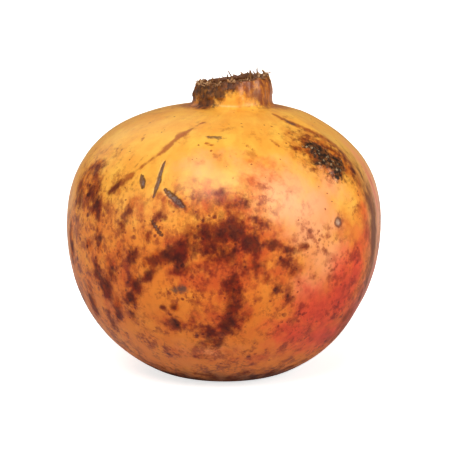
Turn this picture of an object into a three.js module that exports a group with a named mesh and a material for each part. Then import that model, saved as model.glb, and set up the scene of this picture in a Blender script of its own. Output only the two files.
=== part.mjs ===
// A whole pomegranate standing on its stem end, in millimetres, +Z up.
// The origin is on the table under the middle of the fruit, the front faces -Y and +X is to the right.
// The rind and its calyx tube grew as one piece, so they are one solid. The dried stamens, the style and
// the clipped stem are pieces of their own.
import * as THREE from "three";
import { mergeVertices } from "three/addons/utils/BufferGeometryUtils.js";

// --- Driving dimensions -------------------------------------------------------------------------------

const BODY_RADIUS = 44.6; // half the width at the widest level
const WIDEST_LEVEL = 42.2; // height of the widest level above the table
const LOWER_DEPTH = 45.2; // from there down to where the round bottom would end without its flat spot
const LOWER_ROUNDNESS = 2.08; // superellipse powers: 2 is a plain ellipse, more is boxier
const UPPER_HEIGHT = 35;
const UPPER_ROUNDNESS = 2.33;

const REST_RADIUS = 13.5; // outer edge of the flat spot that the fruit stands on
const REST_BEND = 17; // where the flat spot's tangent meets the round bottom
const BOTTOM_START = 21; // radius at which the round bottom takes over
const DIMPLE_RADIUS = 7.2; // the stem's dimple in the middle of the flat spot
const DIMPLE_FLOOR_RADIUS = 3.6;
const DIMPLE_DEPTH = 2.8;

const CALYX_FOOT_RADIUS = 14.2; // where the shoulder starts to turn up into the calyx tube
const CALYX_RADIUS = 11.2; // outside of the tube at its foot
const CALYX_TOP_RADIUS = 10.2; // outside of the tube at its torn rim
const CALYX_FOOT_RISE = 2.4; // height of the hollow curve between shoulder and tube
const RIM_HEIGHT = 83.7; // height of the rim's middle above the table
const WALL = 1.5; // thickness of the tube's wall at the rim
const LIP = 0.5; // height of the rim's bevels
const LIP_BEVEL = 0.35; // and how far each goes in
const CUP_DEPTH = 8.6; // from the rim down to the floor of the tube
const CUP_FLOOR_RADIUS = 5.8;
const CUP_FLOOR_DOME = 0.3; // rise in the middle of that floor

const CALYX_OFFSET = 2.3; // the tube stands this far to the right of the middle
const OFFSET_END = 32; // radius out to which the shoulder leans over with the tube
const RIM_SLOPE = Math.tan(THREE.MathUtils.degToRad(7.2)); // the rim is higher on the right
const SHOULDER_SLOPE = Math.tan(THREE.MathUtils.degToRad(-0.7)); // and the shoulder on the left
const TEAR = 0.3; // how far the torn rim wanders up and down
const TEAR_DEPTH = 2.5; // and how far below the rim that dies out

// Lengthwise ridges and hollows: where they run, in degrees from the front towards the right, how high
// they stand and how wide they are.
const RIDGES = [
  { at: 57, high: 1.3, wide: 12 },
  { at: 76, high: -0.6, wide: 11 },
  { at: 117, high: 0.9, wide: 20 },
  { at: 178, high: 1.0, wide: 22 },
  { at: -124, high: 0.9, wide: 20 },
  { at: -66, high: 0.5, wide: 16 },
  { at: -8, high: 0.4, wide: 22 },
  { at: 28, high: -0.4, wide: 16 },
];

const RIDGE_START = 24; // radius at which the ridges reach their full height on the shoulder
const RIDGE_FADE = 16; // below this level they die out towards the flat spot

const TURNS = 76; // facets around the fruit
const GAP = 0.3; // clearance between touching pieces

// --- Small helpers ------------------------------------------------------------------------------------

const point = (r, z) => new THREE.Vector2(r, z);
const smooth = (a, b, x) => THREE.MathUtils.smoothstep(x, a, b);
const lowerBody = (r) =>
  WIDEST_LEVEL - LOWER_DEPTH * (1 - (r / BODY_RADIUS) ** LOWER_ROUNDNESS) ** (1 / LOWER_ROUNDNESS);
const upperBody = (r) =>
  WIDEST_LEVEL + UPPER_HEIGHT * (1 - (r / BODY_RADIUS) ** UPPER_ROUNDNESS) ** (1 / UPPER_ROUNDNESS);

// Points from a to b inclusive, at even steps of t, through f(t).
function along(steps, f) {
  return Array.from({ length: steps + 1 }, (_, i) => f(i / steps));
}

// The smallest signed difference between two angles in degrees.
function apart(a, b) {
  return ((((a - b) % 360) + 540) % 360) - 180;
}

// How far the rind stands out at an azimuth in degrees, from all ridges and hollows.
function ridgeAt(azimuth) {
  const one = ({ at, high, wide }) => high * Math.exp(-((apart(azimuth, at) / wide) ** 2));
  return RIDGES.reduce((sum, ridge) => sum + one(ridge), 0);
}

// The torn rim's rise and fall round the tube.
function tearAt(azimuth) {
  const a = THREE.MathUtils.degToRad(azimuth);
  return TEAR * (0.5 * Math.sin(3 * a + 0.6) + 0.45 * Math.sin(7 * a + 2.1) + 0.4 * Math.sin(13 * a + 4.0));
}

// Moves a point of the upright, round fruit to where it grew: the calyx tube stands off the middle and its
// rim slopes. Everything inside the tube goes through this too.
function settle(p) {
  const upper = smooth(WIDEST_LEVEL, upperBody(CALYX_FOOT_RADIUS), p.z);
  const tube = smooth(upperBody(CALYX_RADIUS), RIM_HEIGHT, p.z);
  const near = 1 - smooth(CALYX_FOOT_RADIUS, OFFSET_END, Math.hypot(p.x, p.y));
  p.z += p.x * THREE.MathUtils.lerp(SHOULDER_SLOPE * upper, RIM_SLOPE, tube);
  p.x += CALYX_OFFSET * near * upper;
  return p;
}

// --- The fruit: rind and calyx tube -------------------------------------------------------------------

const INSIDE = CALYX_TOP_RADIUS - WALL; // radius of the tube's inner wall
const CUP_FLOOR = RIM_HEIGHT - CUP_DEPTH; // level of the tube's floor at its edge

function bottomProfile() {
  const dimple = along(5, (t) => {
    const r = THREE.MathUtils.lerp(DIMPLE_FLOOR_RADIUS, DIMPLE_RADIUS, t);
    return point(r, DIMPLE_DEPTH * (1 - smooth(0, 1, t)));
  });
  const bend = new THREE.QuadraticBezierCurve(
    point(REST_RADIUS, 0),
    point(REST_BEND, 0),
    point(BOTTOM_START, lowerBody(BOTTOM_START)),
  );
  return [point(0, DIMPLE_DEPTH), ...dimple, ...bend.getPoints(5)];
}

function bodyProfile() {
  const start = Math.acos((BOTTOM_START / BODY_RADIUS) ** (LOWER_ROUNDNESS / 2));
  const end = Math.acos((CALYX_FOOT_RADIUS / BODY_RADIUS) ** (UPPER_ROUNDNESS / 2));
  const lower = along(14, (t) => {
    const r = BODY_RADIUS * Math.cos(start * (1 - t)) ** (2 / LOWER_ROUNDNESS);
    return point(r, lowerBody(Math.min(r, BODY_RADIUS)));
  });
  const upper = along(16, (t) => {
    const r = BODY_RADIUS * Math.cos(end * t) ** (2 / UPPER_ROUNDNESS);
    return point(r, upperBody(Math.min(r, BODY_RADIUS)));
  });
  return [...lower.slice(1), ...upper.slice(1)];
}

function calyxProfile() {
  const footTop = upperBody(CALYX_RADIUS) + CALYX_FOOT_RISE;
  const foot = new THREE.QuadraticBezierCurve(
    point(CALYX_FOOT_RADIUS, upperBody(CALYX_FOOT_RADIUS)),
    point(CALYX_RADIUS + 0.2, upperBody(CALYX_RADIUS)),
    point(CALYX_RADIUS, footTop),
  );
  const wall = along(4, (t) =>
    point(
      THREE.MathUtils.lerp(CALYX_RADIUS, CALYX_TOP_RADIUS, t * t),
      THREE.MathUtils.lerp(footTop, RIM_HEIGHT - LIP, t),
    ),
  );
  const lip = [point(CALYX_TOP_RADIUS - LIP_BEVEL, RIM_HEIGHT), point(INSIDE + LIP_BEVEL, RIM_HEIGHT)];
  const cup = new THREE.CubicBezierCurve(
    point(INSIDE, RIM_HEIGHT - LIP),
    point(INSIDE, RIM_HEIGHT - 0.7 * CUP_DEPTH),
    point(INSIDE, CUP_FLOOR),
    point(CUP_FLOOR_RADIUS, CUP_FLOOR),
  );
  const floor = [
    point(CUP_FLOOR_RADIUS / 2, CUP_FLOOR + 0.7 * CUP_FLOOR_DOME),
    point(0, CUP_FLOOR + CUP_FLOOR_DOME),
  ];
  return [...foot.getPoints(4).slice(1), ...wall.slice(1), ...lip, ...cup.getPoints(7), ...floor];
}

// Turns the round, upright lathe into the grown fruit, vertex by vertex.
function growFruit(geometry) {
  const position = geometry.getAttribute("position");
  const p = new THREE.Vector3();
  for (let i = 0; i < position.count; i++) {
    p.fromBufferAttribute(position, i);
    const r = Math.hypot(p.x, p.y);
    const azimuth = THREE.MathUtils.radToDeg(Math.atan2(p.x, -p.y));
    const outer = smooth(CALYX_RADIUS, RIDGE_START, r);
    const offFloor = smooth(0, RIDGE_FADE, p.z);
    const grow = 1 + (ridgeAt(azimuth) * outer * offFloor) / BODY_RADIUS;
    p.x *= grow;
    p.y *= grow;
    p.z += tearAt(azimuth) * smooth(RIM_HEIGHT - TEAR_DEPTH, RIM_HEIGHT - LIP, p.z);
    settle(p);
    position.setXYZ(i, p.x, p.y, p.z);
  }
  return geometry;
}

function fruitGeometry() {
  const profile = [...bottomProfile(), ...bodyProfile(), ...calyxProfile()];
  return growFruit(new THREE.LatheGeometry(profile, TURNS).rotateX(Math.PI / 2));
}

// --- Inside the calyx tube ----------------------------------------------------------------------------

const FILAMENT = 0.3; // half the thickness of a stamen's filament at its root
const FILAMENT_TAPER = 0.35; // share of that thickness lost by the tip
const ANTHER = 0.5; // half the thickness of the dried anther
const ANTHER_AT = 0.88; // its middle and half its length, as shares of the stamen's length
const ANTHER_REACH = 0.13;
const TALL = 1.55; // how much further up every third stamen goes
const BOW = THREE.MathUtils.degToRad(2.5); // a slight sideways bend, the same way for all so none cross

// Rows of stamens on the inner wall. "down" is how far below the rim their roots are, "reach" how far
// they lean in, "rise" how far up they go and "turn" how far the first one is round from the front.
const STAMEN_ROWS = [
  { count: 18, down: 2.6, reach: 2.3, rise: 3.4, turn: 5 },
  { count: 16, down: 4.4, reach: 3.9, rise: 2.9, turn: 0 },
  { count: 12, down: 6.4, reach: 4.6, rise: 2.5, turn: 9 },
];

// One sweep along a curve, thin at the root and thicker at the anther, closed at both ends.
function sweep(curve, steps, sides, radiusAt) {
  const frames = curve.computeFrenetFrames(steps, false);
  const profile = along(steps, (t) => ({ centre: curve.getPointAt(t), radius: radiusAt(t) }));
  const vertices = [];
  const faces = [];
  profile.forEach(({ centre, radius }, i) => {
    for (let s = 0; s < sides; s++) {
      const a = (2 * Math.PI * s) / sides;
      const side = frames.normals[i].clone().multiplyScalar(Math.cos(a) * radius);
      side.addScaledVector(frames.binormals[i], Math.sin(a) * radius);
      vertices.push(...centre.clone().add(side).toArray());
    }
  });
  for (let i = 0; i < steps; i++) {
    for (let s = 0; s < sides; s++) {
      const a = i * sides + s;
      const b = i * sides + ((s + 1) % sides);
      faces.push(a, b, a + sides, b, b + sides, a + sides);
    }
  }
  for (let s = 1; s < sides - 1; s++) {
    const last = steps * sides;
    faces.push(0, s + 1, s, last, last + s, last + s + 1);
  }
  const geometry = new THREE.BufferGeometry();
  geometry.setAttribute("position", new THREE.Float32BufferAttribute(vertices, 3));
  geometry.setIndex(faces);
  return mergeVertices(geometry);
}

// The centre line of one dried stamen: out of the inner wall, then in and up.
function stamenCurve(row, index) {
  const degrees = row.turn + (360 * index) / row.count;
  const azimuth = THREE.MathUtils.degToRad(degrees);
  const rise = row.rise * (index % 3 === 0 ? TALL : 1);
  const root = RIM_HEIGHT - row.down;
  const places = [
    [INSIDE - GAP - FILAMENT, 0, 0],
    [INSIDE - 0.35 * row.reach - GAP, 0.25, 0.5],
    [INSIDE - 0.75 * row.reach - GAP, 0.62, 1],
    [INSIDE - row.reach - GAP, 1, 1.2],
  ];
  const points = places.map(([r, up, bent]) => {
    const a = azimuth + BOW * bent;
    return settle(new THREE.Vector3(r * Math.sin(a), -r * Math.cos(a), root + up * rise));
  });
  return new THREE.CatmullRomCurve3(points);
}

function stamenGeometry(row, index) {
  const anther = (t) => ANTHER * Math.sqrt(Math.max(0, 1 - ((t - ANTHER_AT) / ANTHER_REACH) ** 2));
  const radiusAt = (t) => Math.max(FILAMENT * (1 - FILAMENT_TAPER * t), anther(t));
  return sweep(stamenCurve(row, index), 8, 5, radiusAt);
}

// The dried style: a short column from the cup's floor with the stigma's knob on top.
function styleGeometry() {
  const floor = CUP_FLOOR + CUP_FLOOR_DOME + GAP;
  const profile = [
    point(0, floor),
    point(1.3, floor),
    point(0.8, floor + 1.2),
    point(0.55, floor + 4.4),
    point(0.95, floor + 5.2),
    point(0.8, floor + 5.9),
    point(0, floor + 6.1),
  ];
  const geometry = new THREE.LatheGeometry(profile, 10).rotateX(Math.PI / 2);
  const position = geometry.getAttribute("position");
  const p = new THREE.Vector3();
  for (let i = 0; i < position.count; i++) {
    settle(p.fromBufferAttribute(position, i));
    position.setXYZ(i, p.x, p.y, p.z);
  }
  return geometry;
}

// --- Under the fruit ----------------------------------------------------------------------------------

const STEM_RADIUS = 2.4;
const STEM_CUT_LEVEL = 0.6; // the clipped end stays clear of the table

function stemGeometry() {
  const top = DIMPLE_DEPTH - GAP;
  const profile = [
    point(0, STEM_CUT_LEVEL),
    point(STEM_RADIUS - 0.3, STEM_CUT_LEVEL),
    point(STEM_RADIUS, STEM_CUT_LEVEL + 0.3),
    point(STEM_RADIUS + 0.1, top - 0.5),
    point(STEM_RADIUS + 0.5, top),
    point(0, top),
  ];
  return new THREE.LatheGeometry(profile, 14).rotateX(Math.PI / 2);
}

// --- Materials and assembly ---------------------------------------------------------------------------

const rind = new THREE.MeshStandardMaterial({ color: 0xe08f38, roughness: 0.45, metalness: 0 });
const driedStamen = new THREE.MeshStandardMaterial({ color: 0x6b4020, roughness: 0.9, metalness: 0 });
const driedStyle = new THREE.MeshStandardMaterial({ color: 0x7a5230, roughness: 0.85, metalness: 0 });
const wood = new THREE.MeshStandardMaterial({ color: 0x6a5138, roughness: 0.9, metalness: 0 });

const pomegranate = new THREE.Group();

function addPiece(name, geometry, material) {
  const mesh = new THREE.Mesh(geometry, material);
  mesh.name = name;
  pomegranate.add(mesh);
}

addPiece("fruit", fruitGeometry(), rind);
addPiece("style", styleGeometry(), driedStyle);
addPiece("stem_stub", stemGeometry(), wood);
let stamen = 0;
for (const row of STAMEN_ROWS) {
  for (let i = 0; i < row.count; i++) {
    stamen += 1;
    addPiece(`stamen_${String(stamen).padStart(2, "0")}`, stamenGeometry(row, i), driedStamen);
  }
}

// The ridges are uneven, so the finished fruit is moved until the origin is under the middle of its box.
const box = new THREE.Box3().setFromObject(pomegranate);
pomegranate.position.set(-(box.min.x + box.max.x) / 2, -(box.min.y + box.max.y) / 2, -box.min.z);

export default pomegranate;
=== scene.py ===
# %% [markdown]
# # A pomegranate that has seen some weather
# This lesson dresses a imported CAD model of a whole pomegranate. The CAD holds its size and place: the fruit
# with its calyx tube, the dried stamens, the style and the stub of the stem. The script loads it as a
# frame, grows a fine skin over it and paints that skin with marks that shader noise breaks up.
# Every cell does one step.

# %% Load the frame
import math

import bpy
import numpy as np
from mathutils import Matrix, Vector, noise


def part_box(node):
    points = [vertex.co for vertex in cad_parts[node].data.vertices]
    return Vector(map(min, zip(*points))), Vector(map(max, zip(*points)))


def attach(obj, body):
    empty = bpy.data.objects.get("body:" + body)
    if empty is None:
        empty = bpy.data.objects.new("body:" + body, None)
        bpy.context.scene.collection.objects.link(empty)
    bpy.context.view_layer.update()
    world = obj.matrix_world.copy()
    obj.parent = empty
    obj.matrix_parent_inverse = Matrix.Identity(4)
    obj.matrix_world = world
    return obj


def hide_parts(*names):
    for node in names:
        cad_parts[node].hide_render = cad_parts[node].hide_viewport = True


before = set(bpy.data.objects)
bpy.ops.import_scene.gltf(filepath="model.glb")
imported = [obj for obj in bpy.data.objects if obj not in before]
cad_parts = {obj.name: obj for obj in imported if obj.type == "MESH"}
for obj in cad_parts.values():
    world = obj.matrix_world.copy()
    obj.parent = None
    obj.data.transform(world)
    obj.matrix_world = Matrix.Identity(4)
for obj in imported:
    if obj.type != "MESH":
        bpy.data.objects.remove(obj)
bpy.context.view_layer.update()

print("nodes in the frame:", len(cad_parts))

# %% [markdown]
# ## The camera and the studio
# A fruit of this size is looked at from half a metre, a little from above. A long lens keeps its sides from
# bulging. The middle of the view is a little under the middle of the fruit, so that calyx and table both
# have room.

# %% Camera
VIEW_DISTANCE = 0.5
VIEW_ELEVATION = math.radians(10)
LENS = 140
AIM = Vector((0.0002, 0, 0.0419))


def look_at(thing, place, target):
    """Puts a camera or a light at place and turns it to the target."""
    thing.location = place
    thing.rotation_euler = (target - place).to_track_quat("-Z", "Y").to_euler()


camera = bpy.data.objects.new("camera", bpy.data.cameras.new("camera"))
camera.data.lens = LENS
camera.data.clip_start = 0.01
bpy.context.scene.collection.objects.link(camera)
back = Vector((0, -math.cos(VIEW_ELEVATION), math.sin(VIEW_ELEVATION)))
look_at(camera, AIM + VIEW_DISTANCE * back, AIM)
bpy.context.scene.camera = camera
print("camera height in mm:", round(1000 * camera.location.z))

# %% [markdown]
# ## Nodes in a few words
# Materials are built in code, so a few helpers keep that short: one fills the inputs of a node, one adds a
# node, one does a sum, and one lays a colour over another through a mask. Colours are written the way a
# paint program shows them and turned into the linear light values that the renderer wants.

# %% Node helpers


def fill(tree, node, inputs):
    """Fills a node's inputs: a value that is a socket is linked, any other is set."""
    for key, value in inputs.items():
        if isinstance(value, bpy.types.NodeSocket):
            tree.links.new(value, node.inputs[key])
        else:
            node.inputs[key].default_value = value
    return node


def add(tree, kind, inputs=None, **settings):
    """Adds a shader node with its settings and inputs."""
    made = tree.nodes.new("ShaderNode" + kind)
    for name, value in settings.items():
        setattr(made, name, value)
    return fill(tree, made, inputs or {})


def maths(tree, operation, *values):
    """One Math node."""
    return add(tree, "Math", dict(enumerate(values)), operation=operation).outputs[0]


def over(tree, mask, under, top, blend="MIX"):
    """Lays the top colour over the one under it, where the mask is 1."""
    made = add(tree, "Mix", {0: mask, 6: under, 7: top}, data_type="RGBA", blend_type=blend)
    return made.outputs[2]


def ramp(tree, value, low, high, to_low=0.0, to_high=1.0):
    """A smooth step of the value from low to high."""
    inputs = {"Value": value, "From Min": low, "From Max": high, "To Min": to_low, "To Max": to_high}
    return add(tree, "MapRange", inputs, interpolation_type="SMOOTHSTEP").outputs[0]


def paint(red, green, blue):
    """A colour from paint-program values of 0 to 255."""
    def linear(v):
        v /= 255
        return v / 12.92 if v <= 0.04045 else ((v + 0.055) / 1.055) ** 2.4
    return (linear(red), linear(green), linear(blue), 1.0)


def new_material(name):
    """An empty material with its Principled shader and its node tree."""
    made = bpy.data.materials.new(name)
    made.use_nodes = True
    return made, made.node_tree, made.node_tree.nodes["Principled BSDF"]


def new_group(name, inputs, outputs):
    """A shader node group with named float sockets; inputs come with their usual values."""
    group = bpy.data.node_groups.new(name, "ShaderNodeTree")
    for label, value in inputs.items():
        socket = group.interface.new_socket(name=label, in_out="INPUT", socket_type="NodeSocketFloat")
        socket.default_value = value
    for label in outputs:
        group.interface.new_socket(name=label, in_out="OUTPUT", socket_type="NodeSocketFloat")
    return group, group.nodes.new("NodeGroupInput").outputs, group.nodes.new("NodeGroupOutput").inputs


def place_group(tree, group, inputs):
    """Uses a node group in a material, with its own values."""
    return add(tree, "Group", inputs, node_tree=group).outputs


print("a ripe gold in linear light:", [round(v, 2) for v in paint(252, 190, 74)])

# %% [markdown]
# ## Soft light
# Studio light on food comes from big soft boxes. A sun lamp with a wide angle acts like a box of any
# distance, so the floor gets the same light everywhere and stays pale to its far edge. The key stands high
# in front, a weaker one low on the right gives the second soft gleam, a low fill opens up the left side,
# and a fourth from behind lights the rim.

# %% Lights and floor


def soft_sun(name, azimuth, elevation, strength, angle, tint):
    """A wide sun lamp. Azimuth counts from the front towards the right, in degrees."""
    a, e = math.radians(azimuth), math.radians(elevation)
    lamp = bpy.data.objects.new(name, bpy.data.lights.new(name, "SUN"))
    lamp.data.energy = strength
    lamp.data.angle = math.radians(angle)
    lamp.data.color = tint
    bpy.context.scene.collection.objects.link(lamp)
    place = Vector((math.sin(a) * math.cos(e), -math.cos(a) * math.cos(e), math.sin(e)))
    look_at(lamp, AIM + place, AIM)
    return lamp


LAMPS = [  # name, azimuth, elevation, strength, angle, tint
    ("key_light", -14, 52, 1.95, 38, (1, 0.98, 0.95)),
    ("side_light", 52, 24, 1.46, 34, (1, 0.96, 0.92)),
    ("left_fill", -62, 6, 0.85, 60, (1, 0.93, 0.82)),
    ("rim_light", -140, 40, 0.3, 50, (1, 0.97, 0.94)),
]
for lamp in LAMPS:
    soft_sun(*lamp)

WHITE, BLACK = (1, 1, 1, 1), (0, 0, 0, 1)
SKY_COLOUR, SKY_AS_LIGHT, SKY_TO_THE_EYE = (1, 0.87, 0.74, 1), 0.2, 1.6
world = bpy.data.worlds.new("studio")
world.use_nodes = True
bpy.context.scene.world = world
sky = world.node_tree
seen = add(sky, "LightPath").outputs["Is Camera Ray"]
bright = add(sky, "MapRange", {"Value": seen, "To Min": SKY_AS_LIGHT, "To Max": SKY_TO_THE_EYE})
fill(sky, sky.nodes["Background"], {"Color": SKY_COLOUR, "Strength": bright.outputs[0]})
bpy.context.scene.view_settings.view_transform = "Standard"

# The floor is bright paper to the eye, but throws back only part of the light, as a small sheet would.
FLOOR_SIZE, FLOOR_BOUNCE, FLOOR_GLOW = 12, (0.58, 0.58, 0.58, 1), 0.7
bpy.ops.mesh.primitive_plane_add(size=FLOOR_SIZE)
floor = bpy.context.object
floor.name = "floor"
floor_material, floor_tree, floor_shader = new_material("pale_floor")
seen = add(floor_tree, "LightPath").outputs["Is Camera Ray"]
fill(floor_tree, floor_shader, {
    "Base Color": over(floor_tree, seen, FLOOR_BOUNCE, WHITE),
    "Emission Color": over(floor_tree, seen, BLACK, WHITE),
    "Emission Strength": FLOOR_GLOW,
    "Roughness": 0.9,
    "Specular IOR Level": 0.1,
})
floor.data.materials.append(floor_material)

# %% [markdown]
# ## Three effects that the materials share
# *Ragged edge* turns a soft painted field into a mask. The field is 0.5 at the mark's outline, and noise
# pushes that line in and out, so a plain oval becomes a natural blotch. *Spots* scatters small dots of
# different sizes. *Fibres* is noise drawn out along the length of a stalk. They are node groups, so each
# material sets its own sizes in millimetres. The noise is looked up by place on the object, so it keeps its
# scale and has no seams.

# %% Shared node groups
MM = 0.001


def scaled_place(tree, size, seed, stretch=(1, 1, 1)):
    """The place on the object counted in units of size millimetres, moved by the seed."""
    place = add(tree, "TexCoord").outputs["Object"]
    squeezed = add(tree, "VectorMath", {0: place, 1: stretch}, operation="MULTIPLY").outputs[0]
    per_metre = maths(tree, "DIVIDE", 1 / MM, size)
    counted = add(tree, "VectorMath", {0: squeezed, "Scale": per_metre}, operation="SCALE").outputs[0]
    return add(tree, "VectorMath", {0: counted, 1: seed}, operation="ADD").outputs[0]


ragged_edge, given, result = new_group(
    "Ragged edge",
    {"Field": 0.5, "Size": 2.0, "Raggedness": 0.8, "Softness": 0.2, "Seed": 0.0},
    ["Mask"],
)
place = scaled_place(ragged_edge, given["Size"], given["Seed"], (1, 1, 0.85))
billows = {"Vector": place, "Scale": 1, "Detail": 6, "Roughness": 0.62}
clouds = add(ragged_edge, "TexNoise", billows).outputs[0]
push = maths(ragged_edge, "MULTIPLY", maths(ragged_edge, "SUBTRACT", clouds, 0.5), given["Raggedness"])
pushed = maths(ragged_edge, "ADD", given["Field"], push)
start = maths(ragged_edge, "SUBTRACT", 0.5, given["Softness"])
end = maths(ragged_edge, "ADD", 0.5, given["Softness"])
painted = ramp(ragged_edge, given["Field"], 0.03, 0.3)  # no marks where nothing is painted
edge = ramp(ragged_edge, pushed, start, end)
ragged_edge.links.new(maths(ragged_edge, "MULTIPLY", edge, painted), result["Mask"])

spots, given, result = new_group(
    "Spots", {"Size": 3.0, "Radius": 0.2, "Cover": 0.5, "Seed": 0.0}, ["Mask"]
)
place = scaled_place(spots, given["Size"], given["Seed"])
wobble = add(spots, "TexNoise", {"Vector": place, "Scale": 2.5, "Detail": 2}).outputs["Color"]
shaken = {0: wobble, 1: (0.25,) * 3, 2: place}
wobbled = add(spots, "VectorMath", shaken, operation="MULTIPLY_ADD").outputs[0]
cells = add(spots, "TexVoronoi", {"Vector": wobbled, "Scale": 1}).outputs
chance = add(spots, "SeparateColor", {0: cells["Color"]}).outputs
reach = maths(spots, "MULTIPLY", given["Radius"], maths(spots, "ADD", 0.4, chance[1]))
dot = ramp(spots, maths(spots, "DIVIDE", cells["Distance"], reach), 1.0, 0.55)
kept = maths(spots, "LESS_THAN", chance[0], given["Cover"])
spots.links.new(maths(spots, "MULTIPLY", dot, kept), result["Mask"])

fibres, given, result = new_group("Fibres", {"Size": 0.3, "Seed": 0.0}, ["Value"])
place = scaled_place(fibres, given["Size"], given["Seed"], (1, 1, 0.18))
drawn_out = {"Vector": place, "Scale": 1, "Detail": 5, "Roughness": 0.6}
strands = add(fibres, "TexNoise", drawn_out).outputs[0]
fibres.links.new(ramp(fibres, strands, 0.3, 0.7), result["Value"])
print("node groups:", [g.name for g in bpy.data.node_groups])

# %% [markdown]
# ## The skin as a grid
# A pomegranate is nearly a shape of revolution, so its skin can be a grid: rows that follow the outline
# from the stem dimple to the bottom of the calyx cup, and columns around it. Sculpting by hand would also
# work, but a grid knows for each point how far round and how far up it is, and the marks are placed by
# those two numbers. The outline's dimensions are the design's own, in millimetres.

# %% Outline of the fruit
BODY_RADIUS, WIDEST_LEVEL = 44.6, 42.2
LOWER_DEPTH, LOWER_ROUNDNESS = 45.2, 2.08
UPPER_HEIGHT, UPPER_ROUNDNESS = 35, 2.33
REST_RADIUS, REST_BEND, BOTTOM_START = 13.5, 17, 21
DIMPLE_RADIUS, DIMPLE_FLOOR_RADIUS, DIMPLE_DEPTH = 7.2, 3.6, 2.8
CALYX_FOOT_RADIUS, CALYX_RADIUS, CALYX_TOP_RADIUS, CALYX_FOOT_RISE = 14.2, 11.2, 10.2, 2.4
RIM_HEIGHT, WALL, LIP, LIP_BEVEL = 83.7, 1.5, 0.5, 0.35
CUP_DEPTH, CUP_FLOOR_RADIUS, CUP_FLOOR_DOME = 8.6, 5.8, 0.3
INSIDE = CALYX_TOP_RADIUS - WALL
CUP_FLOOR = RIM_HEIGHT - CUP_DEPTH


def smooth(a, b, x):
    """Rises smoothly from 0 at a to 1 at b."""
    t = np.clip((x - a) / (b - a), 0, 1)
    return t * t * (3 - 2 * t)


def lower_body(r):
    """Height of the outline below the widest level, at a radius."""
    share_of_depth = (1 - (r / BODY_RADIUS) ** LOWER_ROUNDNESS) ** (1 / LOWER_ROUNDNESS)
    return WIDEST_LEVEL - LOWER_DEPTH * share_of_depth


def upper_body(r):
    """Height of the outline above the widest level, at a radius."""
    share_of_height = (1 - (r / BODY_RADIUS) ** UPPER_ROUNDNESS) ** (1 / UPPER_ROUNDNESS)
    return WIDEST_LEVEL + UPPER_HEIGHT * share_of_height


def bezier(*points, steps=60):
    """Points along a Bezier curve."""
    t = np.linspace(0, 1, steps + 1)[:, None]
    points = [np.array(p, float) for p in points]
    while len(points) > 1:
        points = [(1 - t) * a + t * b for a, b in zip(points, points[1:])]
    return points[0]


def superellipse(from_radius, to_radius, roundness, level, steps=400):
    """Points of one half of the body between two radii, close together."""
    turns = [math.acos((r / BODY_RADIUS) ** (roundness / 2)) for r in (from_radius, to_radius)]
    r = BODY_RADIUS * np.cos(np.linspace(*turns, steps)) ** (2 / roundness)
    return np.column_stack([r, level(np.minimum(r, BODY_RADIUS))])


def evenly(points, spacing):
    """The same line with points at an even spacing, without its first point."""
    lengths = np.append(0, np.cumsum(np.hypot(*np.diff(points, axis=0).T)))
    wanted = np.linspace(0, lengths[-1], max(2, round(lengths[-1] / spacing) + 1))[1:]
    return np.column_stack([np.interp(wanted, lengths, column) for column in points.T])


foot_top = upper_body(CALYX_RADIUS) + CALYX_FOOT_RISE
t = np.linspace(0, 1, 40)
dimple_radii = DIMPLE_FLOOR_RADIUS + (DIMPLE_RADIUS - DIMPLE_FLOOR_RADIUS) * t
dimple = np.column_stack([dimple_radii, DIMPLE_DEPTH * (1 - smooth(0, 1, t))])
tube = np.column_stack(
    [CALYX_RADIUS + (CALYX_TOP_RADIUS - CALYX_RADIUS) * t**2, foot_top + (RIM_HEIGHT - LIP - foot_top) * t]
)
foot = [
    (CALYX_FOOT_RADIUS, upper_body(CALYX_FOOT_RADIUS)),
    (CALYX_RADIUS + 0.3, upper_body(CALYX_RADIUS) - 0.1),
    (CALYX_RADIUS + 0.1, upper_body(CALYX_RADIUS)),
    (CALYX_RADIUS, foot_top),
]
bend = [(REST_RADIUS, 0), (REST_BEND, 0), (BOTTOM_START, lower_body(BOTTOM_START))]
lip = [(CALYX_TOP_RADIUS, RIM_HEIGHT - LIP), (CALYX_TOP_RADIUS - LIP_BEVEL, RIM_HEIGHT)]
lip += [(INSIDE + LIP_BEVEL, RIM_HEIGHT), (INSIDE, RIM_HEIGHT - LIP)]
cup = [(INSIDE, RIM_HEIGHT - LIP), (INSIDE, RIM_HEIGHT - 0.7 * CUP_DEPTH)]
cup += [(INSIDE, CUP_FLOOR), (CUP_FLOOR_RADIUS, CUP_FLOOR)]
middle = [(CUP_FLOOR_RADIUS, CUP_FLOOR), (CUP_FLOOR_RADIUS / 2, CUP_FLOOR + 0.7 * CUP_FLOOR_DOME)]
middle += [(0, CUP_FLOOR + CUP_FLOOR_DOME)]
sections = [
    ("dimple", np.array([(0, DIMPLE_DEPTH), (DIMPLE_FLOOR_RADIUS, DIMPLE_DEPTH)]), 1.2),
    ("dimple", dimple, 0.7),
    ("rest", np.array([(DIMPLE_RADIUS, 0), (REST_RADIUS, 0)]), 1.5),
    ("body", bezier(*bend), 0.75),
    ("body", superellipse(BOTTOM_START, BODY_RADIUS, LOWER_ROUNDNESS, lower_body), 0.75),
    ("body", superellipse(BODY_RADIUS, CALYX_FOOT_RADIUS, UPPER_ROUNDNESS, upper_body), 0.72),
    ("body", bezier(*foot), 0.5),
    ("tube", tube, 0.4),
    ("lip", np.array(lip), 0.3),
    ("cup", bezier(*cup), 0.7),
    ("cup", np.array(middle), 1.5),
]
outline = np.vstack([sections[0][1][:1]] + [evenly(points, spacing) for _, points, spacing in sections])
row_part = ["dimple"] + [name for name, points, spacing in sections for _ in evenly(points, spacing)]
row_part = np.array(row_part)
widest_row = int(np.argmax(outline[:, 0]))
along = np.append(0, np.cumsum(np.hypot(*np.diff(outline, axis=0).T)))
along -= along[widest_row]  # millimetres up the skin from the widest level
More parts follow.
